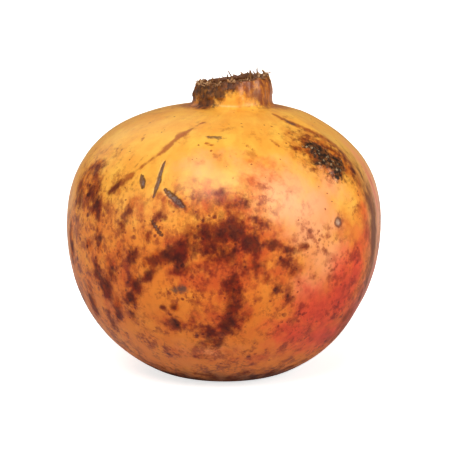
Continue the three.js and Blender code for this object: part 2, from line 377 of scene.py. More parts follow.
print("rows:", len(outline), " skin from widest level to rim in mm:", round(along[row_part == "lip"][0], 1))

# %% [markdown]
# ## Ridges, a leaning calyx and the fruit's own unevenness
# Inside the fruit the seeds lie in chambers, which show as soft lengthwise ridges. The calyx tube stands a
# little off the middle and its rim slopes. The same bends are used as in the CAD, so the skin lies on it to
# a fraction of a millimetre; the printed number compares the skin's box with the CAD fruit's.

# %% Grow the grid
COLUMNS = 472
CALYX_OFFSET, OFFSET_END = 2.3, 32
RIM_SLOPE, SHOULDER_SLOPE = math.tan(math.radians(7.2)), math.tan(math.radians(-0.7))
TEAR, TEAR_DEPTH, RIDGE_START, RIDGE_FADE = 0.3, 2.5, 24, 16
RIDGES = [  # azimuth in degrees from the front to the right, height, half-width in degrees
    (57, 1.3, 12), (76, -0.6, 11), (117, 0.9, 20), (178, 1.0, 22),
    (-124, 0.9, 20), (-66, 0.5, 16), (-8, 0.4, 22), (28, -0.4, 16),
]


def apart(a, b):
    """Signed difference of two angles in degrees."""
    return (a - b + 180) % 360 - 180


def settle(x, y, z):
    """Sets the calyx tube and all that is in it off the middle, with a sloping rim."""
    upper = smooth(WIDEST_LEVEL, upper_body(CALYX_FOOT_RADIUS), z)
    in_tube = smooth(upper_body(CALYX_RADIUS), RIM_HEIGHT, z)
    near = 1 - smooth(CALYX_FOOT_RADIUS, OFFSET_END, np.hypot(x, y))
    z = z + x * (SHOULDER_SLOPE * upper * (1 - in_tube) + RIM_SLOPE * in_tube)
    return np.stack([x + CALYX_OFFSET * near * upper, y, z], -1)


def grow(azimuth, r, z):
    """Where a point of the upright round outline ends up on the grown fruit, in mm."""
    ridge = sum(high * np.exp(-((apart(azimuth, at) / wide) ** 2)) for at, high, wide in RIDGES)
    r = r * (1 + ridge * smooth(CALYX_RADIUS, RIDGE_START, r) * smooth(0, RIDGE_FADE, z) / BODY_RADIUS)
    a = np.radians(azimuth)  # the rim's tear is three waves, as in the CAD
    waves = 0.5 * np.sin(3 * a + 0.6) + 0.45 * np.sin(7 * a + 2.1) + 0.4 * np.sin(13 * a + 4)
    z = z + TEAR * waves * smooth(RIM_HEIGHT - TEAR_DEPTH, RIM_HEIGHT - LIP, z)
    return settle(r * np.sin(a), -r * np.cos(a), z)


AZIMUTH, ALONG = np.meshgrid(np.arange(COLUMNS) * 360 / COLUMNS - 180, along)
grid = grow(AZIMUTH, outline[:, :1], outline[:, 1:])
fruit_low, fruit_high = (np.array(corner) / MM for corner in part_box("fruit"))
shift = (fruit_low + fruit_high - grid.min((0, 1)) - grid.max((0, 1))) / 2
shift[2] = 0  # the flat spot is already on the table
grid += shift
gap = np.abs([grid.min((0, 1)) - fruit_low, grid.max((0, 1)) - fruit_high]).max()
print("skin against the CAD fruit's box, largest difference in mm:", round(gap, 2))


def part_of(*names):
    """1 on the rows of the named parts of the skin, 0 elsewhere."""
    return np.isin(row_part, names).astype(float)[:, None]


def spot_at(azimuth, height):
    """The point of the skin at an azimuth in degrees and so many mm up the skin from the widest level."""
    outside = slice(0, int(np.argmax(row_part == "cup")))
    r, z = (np.interp(height, along[outside], outline[outside, i]) for i in (0, 1))
    return grow(np.float64(azimuth), r, z) + shift


# %% [markdown]
# ## Painting by place
# A mark is a soft field that is 1 in its middle, 0.5 at its outline and 0 far away. An *oval* is a blotch;
# a *stroke* is a scar or streak along a line. Both measure real distances on the skin. All marks of one
# kind go into one attribute of the mesh, which its material reads. Painting them by hand on an image would
# tie them to that image; as numbers they can be moved, and the same fields also raise and dent the skin.

# %% Fields


def oval(azimuth, height, half_width, half_height, turn=0.0, strength=1.0):
    """A soft oval blotch; turn leans its long side over to the right, in degrees."""
    centre = spot_at(azimuth, height)
    up = spot_at(azimuth, height + 0.5) - spot_at(azimuth, height - 0.5)
    up /= np.linalg.norm(up)
    side = np.array([math.cos(math.radians(azimuth)), math.sin(math.radians(azimuth)), 0])
    side -= up * side.dot(up)
    side /= np.linalg.norm(side)
    a = math.radians(turn)
    away = grid - centre
    u = away @ (side * math.cos(a) - up * math.sin(a)) / half_width
    v = away @ (side * math.sin(a) + up * math.cos(a)) / half_height
    w = away @ np.cross(side, up) / max(half_width, half_height)
    return strength * 0.5 ** (u * u + v * v + w * w)


def stroke(places, half_width, strength=1.0, taper=0.6):
    """A soft line through places on the skin, thinner towards its ends."""
    t = np.linspace(0, 1, 10 * len(places))
    route = np.linspace(0, 1, len(places))
    azimuths, heights = (np.interp(t, route, column) for column in np.array(places, float).T)
    widths = half_width * (1 - taper * np.abs(2 * t - 1) ** 2)
    nearest = np.full(grid.shape[:2], 1e9)
    for azimuth, height, width in zip(azimuths, heights, widths):
        distance = np.linalg.norm(grid - spot_at(azimuth, height), axis=-1) / width
        nearest = np.minimum(nearest, distance)
    return strength * 0.5 ** (nearest**2)


def all_of(marks):
    """The strongest of several marks at each point."""
    return np.max(list(marks), axis=0)


def ovals(marks, level=0):
    """The strongest of several ovals, with their heights counted up the skin from a level."""
    return all_of(oval(azimuth, level + height, *rest) for azimuth, height, *rest in marks)


def lumps(size, seed):
    """Smooth noise from about -1 to 1 over the skin, with bumps some size mm apart."""
    offset = Vector((seed, 2 * seed, 3 * seed))
    values = [noise.noise(Vector(p) / size + offset) for p in grid.reshape(-1, 3)]
    return np.array(values).reshape(grid.shape[:2])


# %% [markdown]
# ## The marks
# Skin that had sun and wind is warmer in colour low down and on the sunny side, with a red blush. Brown
# staining covers patches of it, darkest in the middle of the front. Twigs and thorns scratched it while it
# grew; the wounds closed with grey cork. On the ridge at the right sits a thick black scab. The back has
# marks of the same kinds.

# %% Stains, blush and shade
STAINS = [  # azimuth, height, half-width, half-height, turn (0 if left out), strength (1 if left out)
    (2, 5.4, 5.2, 3, 5), (-5, 4.2, 4.8, 3.2, -15), (-11, 1.6, 4.8, 2.7, -20),
    (-17, -0.6, 4.8, 2.3, -15), (-23.5, -2.4, 3.6, 1.9, -18), (8, 3.2, 3.6, 2.8, 25, 0.9),
    (10.5, -3.4, 2.4, 4, 15, 0.85), (-1, -0.6, 7, 2.8, 0, 0.85), (-12, -3.8, 6, 1.7, -10, 0.6),
    (-4, 10.4, 4.4, 1.3, 0, 0.48), (2, 12.8, 3.4, 1.5, 0, 0.52), (7.5, 13.4, 2.2, 1.5, 0, 0.52),
    (-3, 14.6, 5.4, 2.6, 0, 0.45), (0, 17, 1.5, 0.9, 0, 0.5), (3, -9.5, 2.4, 3.6, -8, 0.82),
    (4, -15.5, 2.4, 3.6, -4, 0.72), (1.5, -21, 2.6, 3.6, 14, 0.8), (-4, -27, 3.6, 1.9, -10, 0.85),
    (-6, -23.6, 3, 2.2, 0, 0.62), (16, 2, 4.4, 1.4, 10, 0.7), (20, -3, 2.6, 2, 30, 0.55),
    (23.4, 0.4, 3, 1.1, 0, 0.75), (28.2, 0.8, 1.4, 1, 0, 0.8), (24.5, -5.6, 1.6, 1.5, 0, 0.75),
    (15, -7, 2.8, 1.8, 40, 0.55), (19, -10, 1.8, 1.5, 0, 0.5), (12, 8.4, 3.4, 1.3, 15, 0.5),
    (-61, 19.5, 3.6, 2.2, -30, 0.75), (-57, 14, 3, 4.6, -15, 0.75), (-51.5, 9.2, 1.6, 2.6, -15),
    (-66, 11.5, 2.2, 5, -15, 0.85), (-70, -3, 2, 6, 0, 0.8), (-49, 1, 1.4, 2.6, 0, 0.85),
    (-55, -1.1, 1.6, 1.9, 0, 0.8), (-47.5, -13, 2.2, 3.4, 10, 0.95), (-44.5, -18.6, 1.6, 3.8, 20, 0.8),
    (-33, -10.5, 2.4, 2.4), (-36, -13.8, 2.2, 2.2, 0, 0.85), (-27, -6.8, 3.2, 1.4, -30, 0.75),
    (-61.5, -18.6, 2, 4.4, 12, 0.85), (-35, 9.8, 1.6, 2.9, 14, 0.85), (-37.5, 5, 1.1, 2, 0, 0.65),
    (-32.5, -1.4, 1.5, 3, 0, 0.85), (-43, -6.7, 1.9, 3.2, 8, 0.75), (-39, -2, 1.2, 3, 0, 0.6),
    (-27, 4, 1.4, 2.2, 0, 0.45), (-51, -8, 1.6, 3.2, 10, 0.65), (-37, -19.5, 1.3, 2.4, 20, 0.6),
    (-52, -24, 1.6, 3.6, 15, 0.65), (-44, 15.5, 2.8, 1.1, -50, 0.8), (-16, 12.6, 3.4, 1.4, 20, 0.62),
    (-22, 9, 2.2, 1.5, 0, 0.45), (-18, -15.5, 1.1, 1, 0, 0.85), (-22.5, -15.8, 0.9, 0.8, 0, 0.75),
    (-19, -20.5, 2.6, 2.2, 0, 0.62), (-12, -20, 1.6, 2, 0, 0.5), (-84, -6, 3, 10, 0, 0.85),
    (-78, -20, 3, 6, 0, 0.8), (24, -13, 2.6, 1.8, 0, 0.5), (8, -18, 2.4, 2.4, 0, 0.45),
    (-12, -33, 4.4, 1.5, 0, 0.45), (23, -24, 1.8, 1.4, 0, 0.6), (-92, 12, 3, 7, 15, 0.7),
    (-104, 4, 7.5, 3.2, -25, 0.75), (-112, -2, 3, 5, 20, 0.6), (-120, -14, 6.5, 3, 25, 0.75),
    (-140, 10, 6, 2.6, -35, 0.65), (-133, 5, 2, 5, 0, 0.55), (-158, -4, 8, 3.2, -20, 0.75),
    (-166, -8, 4, 2.4, 10, 0.65), (-172, 16, 2.4, 5, 10, 0.6), (168, -20, 6, 2.6, 20, 0.7),
    (150, 2, 3.4, 7, 25, 0.75), (143, -6, 5.5, 2.2, -30, 0.65), (132, 18, 4, 2, 20, 0.6),
    (118, -10, 3.4, 6.4, -20, 0.7), (108, -4, 3, 2, 0, 0.6), (98, 6, 2, 4.6, 10, 0.6),
    (-128, -4, 2, 5, 10, 0.55), (-146, -14, 4, 2, 0, 0.6),
]
FRECKLES = [
    (-2, -1, 17, 13, 0, 0.72), (20, -3, 10, 9, 0, 0.52), (-1, -20, 9, 12, 0, 0.6),
    (-58, 2, 14, 24, 0, 0.68), (-36, -4, 10, 20, 0, 0.68), (-30, 10, 12, 6, 0, 0.55),
    (-14, 15, 9, 6, 0, 0.5), (22, -20, 11, 10, 0, 0.58), (12, 13, 10, 7, 0, 0.52),
    (-20, -30, 15, 6, 0, 0.45), (2, -33, 14, 4, 0, 0.45), (-100, 0, 18, 18, 0, 0.55),
    (-150, 0, 20, 18, 0, 0.55), (160, -6, 22, 16, 0, 0.55), (115, -4, 14, 16, 0, 0.5),
]
RUSTS = [
    (2, 5, 8, 5, 0, 0.8), (-14, 1, 6, 3.6, 30, 0.7), (-2, -6, 10, 5), (-15, -6, 6, 3, 60, 0.85),
    (10, -1, 9, 8, 0, 0.75), (4, 13, 7, 4, 0, 0.75), (-8, 13, 6, 3.4, 0, 0.62), (-6, 17, 9, 3, 0, 0.5),
    (-22, 12, 4, 4, 0, 0.5), (17, 23, 4.6, 3, 40, 0.62), (10, 19, 4, 2.6, 40, 0.6),
    (-31, 11, 3, 2.8, 0, 0.6), (-2, -17, 8, 8, 0, 0.72), (20, -5, 7, 5, 0, 0.6),
    (-57, 12, 4, 8, -15, 0.55), (-38, -8, 5, 10, 0, 0.5), (-46, -18, 5, 5, 0, 0.5),
    (-20, -21, 5, 3, 0, 0.6), (-12, -32, 12, 3, 0, 0.5), (18, -34, 9, 4, 0, 0.6),
    (46, 3, 2.4, 5, 0, 0.5), (-110, 0, 9, 10, 0, 0.65), (-158, -8, 10, 7, 0, 0.72),
    (150, -2, 9, 9, 0, 0.7),
]
BLUSHES = [
    (38, -19, 10, 8, 30), (30, -25, 10, 5.6, 15, 0.85), (46, -14, 6, 11, 10), (52, -6, 3.6, 9, 5, 0.8),
    (57, 3, 2.6, 11, 0, 0.64), (46, -28, 10, 6, 0, 0.95), (60, -22, 6, 10, 0, 0.9),
    (84, -18, 12, 9, 0, 0.8), (128, -22, 12, 7, 0, 0.75), (-150, -26, 12, 6, 0, 0.6),
    (78, 12, 2, 10, 0, 0.5),
]
# Pink patches. Those on the front right, high on the front and at the far right edge are painted highlight
# and painted reflection where the lamps gleam; the rest are the rind's own pink.
PINKS_AND_HIGHLIGHTS = [
    (22, 16, 9, 8, 0, 0.9), (32, 8, 9, 9, 0, 0.95), (38, -3, 6, 7, 0, 0.85), (14, 22, 6, 4, 0, 0.5),
    (80, 12, 5, 14, 0, 0.95), (32, -10, 6, 5, 0, 0.7), (112, 8, 9, 10, 0, 0.6), (-8, -30, 9, 4, 0, 0.4),
    (172, 4, 9, 8, 0, 0.55), (42, 16, 6, 5, 0, 0.7), (-11, 25, 8, 4.4, 0, 0.5), (3, 27, 7, 4, 0, 0.4),
]
# Brown beside the ridge on the right: partly the rind's own brown, partly painted shade on the facet that
# turns away from the lamps.
RIDGE_BROWN_AND_SHADE = [
    (65, 3, 5.2, 15), (62, -12, 4.4, 9, 5, 0.75), (66, 15, 2.8, 9, 0, 0.75), (57, -26, 5, 6, 0, 0.6),
]

uneven = lumps(7, 31) + 0.6 * lumps(3, 32)
stain = ovals(STAINS) * (1 + 0.4 * uneven)
freckle = ovals(FRECKLES) * (1 + 0.5 * uneven)
freckle = np.maximum(freckle, (0.2 + 0.22 * smooth(20, -8, ALONG)) * (1 + uneven) * part_of("body"))
rust, blush, pink_and_highlight, ridge_brown_and_shade = (ovals(marks) for marks in (RUSTS, BLUSHES, PINKS_AND_HIGHLIGHTS, RIDGE_BROWN_AND_SHADE))
warm = 0.1 + 0.75 * smooth(26, -16, ALONG) + 0.15 * lumps(20, 3)
# Painted shade: the rind darkens towards the table, where little light reaches under the fruit.
underside = smooth(-35, -51, ALONG) * part_of("body", "rest", "dimple")

STRIPE_LENGTH, BROAD_STRIPES, NARROW_STRIPES = 110, 9, 24
turned_to = np.radians(AZIMUTH)
around_and_up = np.stack([np.sin(turned_to), np.cos(turned_to), ALONG / STRIPE_LENGTH], -1).reshape(-1, 3)
lengthwise = [
    noise.noise(Vector(BROAD_STRIPES * p)) + 0.6 * noise.noise(Vector(NARROW_STRIPES * p))
    for p in around_and_up
]
lengthwise = 0.5 + 0.9 * np.reshape(lengthwise, AZIMUTH.shape)
print("share of the skin that is stained:", round(float((stain > 0.5).mean()), 2))

# %% Scars, scab and wart
SCARS = [  # places along the scar, half-width, strength
    ([(-25.3, 24.5), (-25.1, 18.5), (-26, 14)], 0.5, 1),
    ([(-33.4, 19.8), (-32, 18), (-31, 16.2)], 0.72, 0.95),
    ([(-22, 16.4), (-17.5, 14), (-14, 12)], 0.72, 1),
    ([(-26, 8.4), (-23, 5.5), (-21, 3.8)], 0.44, 0.95),
    ([(-102, 20), (-98, 15), (-97, 9)], 0.7, 1),
    ([(-135, -2), (-131, -5), (-126, -6)], 0.6, 1),
    ([(176, 24), (171, 22), (168, 17)], 0.7, 1),
    ([(140, -8), (137, -13)], 0.7, 0.9),
    ([(104, 27), (108, 22), (109, 16)], 0.5, 0.9),
]
STREAKS = [  # thin brown lines without a wound
    ([(-20.5, 38), (-25, 32.2), (-27.5, 28.3), (-30, 26)], 0.95, 0.95),
    ([(-22.5, 36), (-24.5, 33)], 1.3, 1),
    ([(-28, 28), (-33, 23.8), (-37, 20.6)], 0.55, 0.7),
    ([(-37, 20.6), (-41, 17.5), (-46, 14)], 1.2, 0.9),
    ([(40, 46.5), (44, 41), (49, 38), (53.5, 36)], 1.1, 0.9),
    ([(51, 37), (57, 31), (60, 25), (59, 19)], 1.5, 0.85),
    ([(-46, 33), (-43, 30.5)], 0.5, 0.7),
    ([(-55, 27), (-52, 24.5)], 0.5, 0.7),
    ([(-9, 31.6), (-4, 30.4)], 0.4, 0.7),
    ([(-16, 42), (-20, 39.6)], 0.4, 0.7),
    ([(9, 32), (13, 29.4)], 0.4, 0.65),
    ([(24, 33), (27, 30)], 0.5, 0.65),
    ([(-36, 26), (-38, 22)], 0.4, 0.65),
    ([(-150, 30), (-146, 22), (-140, 17)], 0.8, 0.75),
    ([(120, 34), (126, 26)], 0.7, 0.7),
]
scar = all_of(stroke(*mark) for mark in SCARS)
streak = all_of(stroke(*mark) for mark in STREAKS)
scab = ovals([
    (46, 27, 2.3, 3.9, -35), (49.5, 22, 2.9, 3, -20), (44.5, 24, 2.8, 2, -40, 0.95),
    (48, 18.6, 1.6, 1.3, 0, 0.85), (43.5, 29.6, 1.2, 1.6, -30, 0.8),
])
halo = ovals([
    (46, 27, 6, 8, -25), (54.5, 23, 3.2, 7, -20), (36.5, 28.5, 3.4, 2.2, 0, 0.8),
    (49, 20, 3.4, 3.4, 0, 0.9),
])
grey_spot = ovals([
    (-14.5, -9.8, 1.5, 1.1), (-17.5, -10.4, 1, 0.7, 0, 0.8), (45, 40.5, 1.8, 0.8, 60, 0.8),
    (-4.5, 34.2, 2.1, 0.55), (-6.5, 34.1, 1, 0.7, 0, 0.9), (-3, 33, 0.5, 1, 0, 0.6),
])
wart = oval(43, 6.3, 1, 1.2)
print("scars:", len(SCARS), " streaks:", len(STREAKS))

# %% [markdown]
# ## The calyx tube's own marks
# The flower's lobes broke off long ago and left a torn rim. Sap and mould darkened the tube, most on the
# front left, where it is nearly black and crusty from the rim halfway down. These marks are placed round
# the tube's own middle.

# %% Marks on the tube
RIM_AT = along[row_part == "lip"][0]
CRUSTS = [  # as the stains, but with the height counted from the rim
    (-60, -1, 5, 2.8), (-28, -0.8, 4.6, 2.2), (-4, -0.6, 2.8, 1.8), (-40, -4.6, 3.2, 3),
    (-46, -6.4, 2.4, 1.6, 0, 0.9), (-20, -3, 2, 2), (-80, -2.6, 3.6, 2.6, 0, 0.9),
    (76, -0.8, 1.6, 1.6, 0, 0.8), (-130, -2, 5, 3), (165, -1, 4, 1.6), (110, -2.5, 2.6, 3),
]
BRUISES = [
    (24, -1.2, 3, 2), (8, -0.9, 2.6, 1.5, 0, 0.85), (38, -3.5, 1.6, 4, -20),
    (56, -5.5, 1.2, 2.8, -25, 0.95), (44, -1, 3, 1.6, 0, 0.9), (47, -6.6, 0.9, 1.8, -20, 0.85),
    (-46, -6.4, 3.6, 1.6, 0, 0.8), (64, -1.8, 2.6, 2.6, 0, 0.7), (140, -4, 4, 3), (-160, -5, 4, 2.6),
]
BROWNED = [
    (60, -3.4, 4, 5), (78, -5, 3.4, 6), (90, -6, 3, 5), (-88, -6, 2.6, 5), (-72, -8, 4.4, 2.4),
    (-46, -8, 4, 1.8, 0, 0.85), (14, -0.8, 7, 1.8, 0, 0.95), (30, -3.6, 3, 2.6, 0, 0.7),
    (125, -5, 4, 5), (180, -5, 5, 4), (-130, -6, 5, 4),
]
outer_tube = part_of("tube", "lip")
around_tube = part_of("tube", "lip", "body")
crust, bruise = ovals(CRUSTS, RIM_AT) * around_tube, ovals(BRUISES, RIM_AT) * around_tube
browned = ovals(BROWNED, RIM_AT)
inside_cup = np.broadcast_to(part_of("lip", "cup"), grid.shape[:2])
print("marks on the tube:", len(CRUSTS + BRUISES + BROWNED))

# %% [markdown]
# ## Relief
# Colour alone would look printed on. The skin is moved in and out by tenths of a millimetre along its own
# normals: soft swells all over, sunken scars with swollen edges, crumbs on the scab, ribs on the tube, and
# a rim that is torn up and down. A displacement node in the material could do this too, but then the mesh
# itself would stay smooth.

# %% Move the skin


def normals_of(points):
    """Outward unit normals of the grid, from its slopes along rows and columns."""
    around = np.roll(points, -1, axis=1) - np.roll(points, 1, axis=1)
    upward = np.gradient(points, axis=0)
    normal = np.cross(around, upward)
    length = np.linalg.norm(normal, axis=-1, keepdims=True)
    return normal / np.maximum(length, 1e-9)


def dent(field, depth, swelling):
    """A sunken mark with a swollen edge, from a field that is 0.5 at its outline."""
    return swelling * np.exp(-(((field - 0.4) / 0.16) ** 2)) - depth * smooth(0.45, 0.9, field)


# Heights and sizes are in millimetres, azimuths and the width of the crease in degrees.
SWELLS = [(13, 5, 0.16), (5, 6, 0.07), (1.6, 7, 0.02)]  # size, seed and height of the bumps
CREASE_AZIMUTH, CREASE_WIDTH, CREASE_HEIGHT = 57, 4.5, 0.25  # the sharp top of the ridge on the right
SCAR_DEPTH, SCAR_SWELLING = 0.42, 0.12
WART_DEPTH, WART_SWELLING = 0.18, 0.3
SPOT_DEPTH, SPOT_SWELLING = 0.12, 0.05
SCAB_RISE, SCAB_CRUMBS, STAIN_GRAIN, CUP_AND_CRUST_GRAIN = 0.25, 0.55, 0.06, 0.22
RIBS, RIB_HEIGHT, TUBE_GRAIN, CRUST_RISE = 17, 0.13, 0.1, 0.12
RIM_BAND, RIM_RAGGEDNESS, RIM_NOTCHES = 1.8, 0.28, 0.3

off_table = smooth(0.3, 4, grid[..., 2])
skin = part_of("body", "tube", "lip") * off_table
fine = lumps(1.1, 11)
relief = sum(high * lumps(size, seed) for size, seed, high in SWELLS)
relief += dent(scar, SCAR_DEPTH, SCAR_SWELLING) + dent(wart, WART_DEPTH, WART_SWELLING)
relief += dent(grey_spot, SPOT_DEPTH, SPOT_SWELLING)
crease = np.exp(-((apart(AZIMUTH, CREASE_AZIMUTH) / CREASE_WIDTH) ** 2))
relief += CREASE_HEIGHT * crease * smooth(-30, -5, ALONG) * smooth(47, 35, ALONG)
relief += smooth(0.35, 0.6, scab) * (SCAB_RISE + SCAB_CRUMBS * np.abs(fine))
relief += STAIN_GRAIN * smooth(0.4, 0.7, stain) * fine
ribs = RIB_HEIGHT * np.sin(np.radians(AZIMUTH) * RIBS + 2 * lumps(6, 8))
crusty = smooth(0.4, 0.6, crust) * (CRUST_RISE + CUP_AND_CRUST_GRAIN * fine)
relief += outer_tube * (ribs + TUBE_GRAIN * fine + crusty)
relief = relief * skin + CUP_AND_CRUST_GRAIN * fine * part_of("cup") * smooth(2, 5, outline[:, :1])
grid = grid + normals_of(grid) * relief[..., None]
near_rim = part_of("tube", "lip", "cup")
near_rim *= smooth(RIM_HEIGHT - RIM_BAND, RIM_HEIGHT - 0.2, outline[:, 1:])
torn = RIM_RAGGEDNESS * lumps(1.7, 21) + RIM_NOTCHES * np.minimum(lumps(3.1, 22), 0)
grid[..., 2] += near_rim * torn
print("deepest and highest relief in mm:", round(float(relief.min()), 2), round(float(relief.max()), 2))

# %% [markdown]
# ## From grid to mesh
# The first and last rows are single points, where the columns meet. The painted fields travel with the mesh
# as attributes, one number per point.

# %% Build the skin


def mesh_object(name, points, faces, material):
    """A smooth-shaded mesh object from points in mm."""
    mesh = bpy.data.meshes.new(name)
    mesh.from_pydata((np.asarray(points) * MM).tolist(), [], [tuple(f) for f in faces])
    mesh.polygons.foreach_set("use_smooth", np.ones(len(mesh.polygons), bool))
    mesh.validate()
    mesh.materials.append(material)
    made = bpy.data.objects.new(name, mesh)
    bpy.context.scene.collection.objects.link(made)
    return made


def closed_grid(rows):
    """Points and faces of a grid whose columns close on themselves and whose end rows shrink to a point."""
    count, columns = rows.shape[:2]
    points = np.vstack([rows[0, :1], rows[1:-1].reshape(-1, 3), rows[-1, :1]])
    number = 1 + np.arange((count - 2) * columns).reshape(count - 2, columns)
    beside = np.roll(number, -1, axis=1)
    faces = np.stack([number[:-1], beside[:-1], beside[1:], number[1:]], -1).reshape(-1, 4).tolist()
    faces += [(0, b, a) for a, b in zip(number[0].tolist(), beside[0].tolist())]
    last = len(points) - 1
    faces += [(last, a, b) for a, b in zip(number[-1].tolist(), beside[-1].tolist())]
    return points, faces


def store(piece, name, field):
    """Puts a field of the grid on the piece's points."""
    values = np.concatenate([field[0, :1], field[1:-1].ravel(), field[-1, :1]])
    attribute = piece.data.attributes.new(name, "FLOAT", "POINT")
    attribute.data.foreach_set("value", values.astype(np.float32))


rind_material, rind_tree, rind_shader = new_material("rind")
rind = mesh_object("weathered_rind", *closed_grid(grid), rind_material)
FIELDS = {
    "warm": warm, "pink_and_highlight": pink_and_highlight, "blush": blush, "rust": rust, "stain": stain, "ridge_brown_and_shade": ridge_brown_and_shade, "scar": scar,
    "freckle": freckle, "streak": streak, "underside": underside, "lengthwise": lengthwise,
    "scab": scab, "halo": halo, "wart": wart, "grey_spot": grey_spot, "crust": crust, "bruise": bruise,
    "browned": browned, "cup": inside_cup,
}
for name, field in FIELDS.items():
    store(rind, name, field)
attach(rind, "root")
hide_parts("fruit")
print("skin faces:", len(rind.data.polygons), " attributes:", len(FIELDS))

# %% [markdown]
# ## Colours of the rind
# The paint goes on in layers, from the ground up: golden skin that turns orange low down, a pink flush that
# is in part a painted highlight, the red blush, rusty patches, brown stain as a soft wash with dark specks in
# it, then brown rind with painted shade beside the ridge, painted shade under the fruit, scars, scab and the
# crust on the tube. Each layer is the last one with a colour laid over it through a ragged mask.

# %% Rind material


def field(name, gain=1.0, less=0.0):
    """Reads a painted field of the rind. A gain above 1 widens its marks, a loss shrinks them."""
    value = add(rind_tree, "Attribute", attribute_name=name).outputs["Fac"]
    return maths(rind_tree, "MULTIPLY_ADD", value, gain, -less)


def ragged(source, size, raggedness, softness, seed=0.0, tree=rind_tree):
    """The Ragged edge group on a painted field, given by its name, or on any socket or value."""
    source = field(source) if isinstance(source, str) else source
    inputs = {"Field": source, "Size": size, "Raggedness": raggedness, "Softness": softness, "Seed": seed}
    return place_group(tree, ragged_edge, inputs)["Mask"]


def dots(size, radius, cover, seed=0.0):
    """The Spots group."""
    inputs = {"Size": size, "Radius": radius, "Cover": cover, "Seed": seed}
    return place_group(rind_tree, spots, inputs)["Mask"]


def share(mask, amount):
    """A mask weakened to a share of itself, or by a second mask."""
    return maths(rind_tree, "MULTIPLY", mask, amount)


def lay(colour, mask, top, amount=1.0, blend="MIX"):
    """The colour so far with one more layer of paint on it, through a share of a mask."""
    return over(rind_tree, share(mask, amount), colour, paint(*top), blend)


def glaze(colour, mask, tint, amount=1.0):
    """The colour so far under a clear tint."""
    return lay(colour, mask, tint, amount, "MULTIPLY")


gold, orange = (252, 190, 74), (246, 146, 40)
colour = lay(paint(*gold), ragged("warm", 12, 1.4, 0.5), orange)
mottle = ragged("warm", 3.4, 2.6, 0.4, 4)
colour = lay(colour, mottle, (228, 120, 30), 0.5)
amber = ragged(0.46, 6.5, 2.4, 0.4, 41)
colour = glaze(colour, amber, (238, 194, 148), 0.46)
stripes = ragged(field("lengthwise", 0.8), 4, 1.4, 0.4, 24)
colour = lay(colour, stripes, (226, 120, 34), 0.24)
# A pink flush that is partly painted highlight, where the lamps gleam on the front.
flush_and_highlight = ragged("pink_and_highlight", 5, 1.2, 0.45)
colour = lay(colour, flush_and_highlight, (255, 172, 118), 0.8)
red = ragged("blush", 5, 1.2, 0.5)
colour = lay(colour, red, (238, 74, 40), 0.92)
deep_red = ragged(field("blush", less=0.25), 2.6, 2.2, 0.5, 3)
colour = lay(colour, deep_red, (176, 32, 26), 0.5)
rusty = ragged("rust", 3.4, 2, 0.45, 2)
colour = lay(colour, rusty, (206, 78, 22), 0.88)
scrape = ragged("streak", 1.8, 1.8, 0.4, 5)
colour = glaze(colour, scrape, (176, 124, 112), 0.9)
print("ground, flush, blush and rust laid on")

# %% [markdown]
# ## Brown stain
# Stain is never one flat brown. A thin wash comes first, then a middle brown that breaks up into patches,
# then the near-black heart of each patch. Freckles of three sizes lead from the patches out into clean
# skin. Stain is a clear brown over the colour below, so these layers multiply; opaque brown would turn the
# gold olive at soft edges.

# %% Stain colours
stained = field("stain")
wash = ragged(stained, 5, 2, 0.5, 5)
colour = glaze(colour, wash, (226, 182, 150), 0.9)
patch = ragged(share(stained, 0.94), 3, 3.2, 0.42, 12)
colour = glaze(colour, patch, (164, 120, 90))
heart = ragged(share(stained, 0.66), 2, 3.8, 0.4, 15)
colour = lay(colour, heart, (84, 36, 6), 0.55)
both = maths(rind_tree, "MAXIMUM", share(stained, 0.7), field("freckle"))
blots = ragged(share(both, 0.58), 3, 4, 0.36, 19)
colour = glaze(colour, blots, (176, 126, 106), 0.8)
specks = ragged(share(both, 0.52), 1.3, 3.4, 0.3, 9)
colour = glaze(colour, specks, (176, 120, 98), 0.74)
round_spots = share(dots(2.7, 0.24, 0.6, 7), ramp(rind_tree, both, 0.3, 0.6))
colour = glaze(colour, round_spots, (146, 94, 76), 0.9)
pores = dots(2.4, 0.14, 0.7)
colour = glaze(colour, pores, (168, 112, 88), 0.85)
# Painted shade under the fruit, laid on as a dark tint.
painted_underside_shade = ragged(field("underside", 0.66), 3.4, 3.6, 0.5, 3)
colour = glaze(colour, painted_underside_shade, (150, 108, 92), 0.9)
# Brown rind and painted shade on the facet beside the ridge.
shade = ragged("ridge_brown_and_shade", 3.6, 2, 0.5, 7)
colour = lay(colour, shade, (112, 56, 32), 0.92)
ring = ragged("halo", 3, 1.8, 0.45, 8)
colour = glaze(colour, ring, (200, 150, 112))
ring_dark = ragged(field("halo", 0.66), 1.8, 3.2, 0.34, 18)
colour = glaze(colour, ring_dark, (136, 96, 84), 0.9)
# Painted shade where the fruit meets the table, laid on as a dark tint over the underside.
painted_contact_shade = ragged(field("underside", less=0.1), 5, 2, 0.4, 11)
colour = glaze(colour, painted_contact_shade, (112, 88, 80), 0.66)
print("stain, freckles and shade laid on")

# %% [markdown]
# ## Wounds, scab and tube
# A scar has a dark brown border where the skin died back and a thin grey line of cork down its middle. The
# scab is a black crust with pale crumbs. The tube is darkest where sap dried on it; the crust there has
# brown streaks that run lengthwise like the fibres below it.

